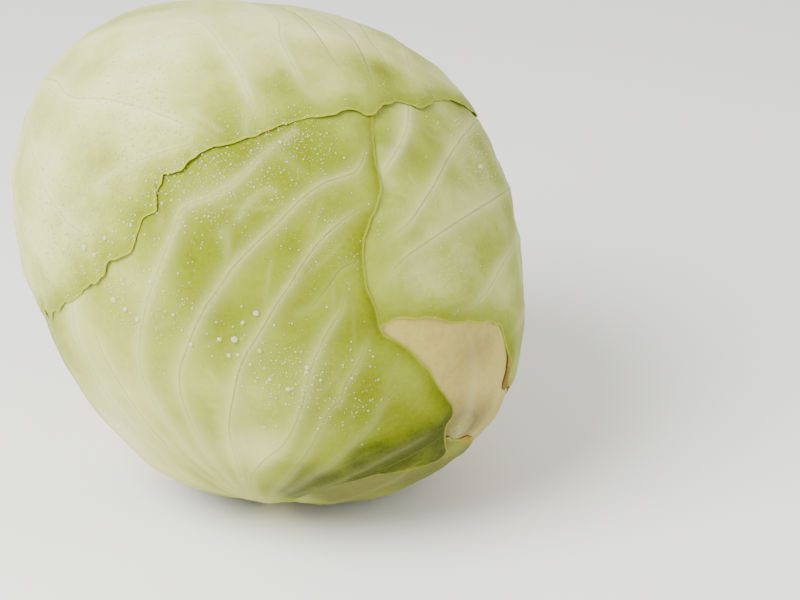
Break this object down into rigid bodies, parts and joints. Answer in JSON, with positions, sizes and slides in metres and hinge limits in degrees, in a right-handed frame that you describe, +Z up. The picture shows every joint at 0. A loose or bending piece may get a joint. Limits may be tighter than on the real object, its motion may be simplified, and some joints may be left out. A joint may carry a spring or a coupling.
{
  "type": "green cabbage",
  "caption": "Whole trimmed head of green cabbage with overlapping wrapper leaves round a dense heart, resting on its cut stem.",
  "frame": {"origin": "on the resting surface, under the middle of the head's bounding box", "axes": "+Z up from the cut stem to the crown, -Y towards the side that shows the leaf margins best, +X to that side's right"},
  "size_m": [0.1723, 0.1753, 0.1693],
  "materials": {
    "stem": "moist cut plant flesh, ivory with a ring of fibres",
    "inner_leaves": "pale waxy leaf, satin",
    "back_leaf": "pale green waxy leaf with cream veins, satin",
    "front_leaf": "green waxy leaf with a fan of cream veins, satin",
    "low_leaf": "olive green leaf with a torn dry margin, satin",
    "right_leaf": "green waxy leaf with pale veins and a browned edge, satin",
    "pale_leaf": "smooth cream inner leaf, satin"
  },
  "bodies": {
    "root": {"stem": "stem", "inner_head": "inner_leaves", "leaf_back": "back_leaf", "leaf_front": "front_leaf", "leaf_low": "low_leaf", "leaf_right": "right_leaf", "leaf_pale": "pale_leaf"}
  },
  "joints": []
}
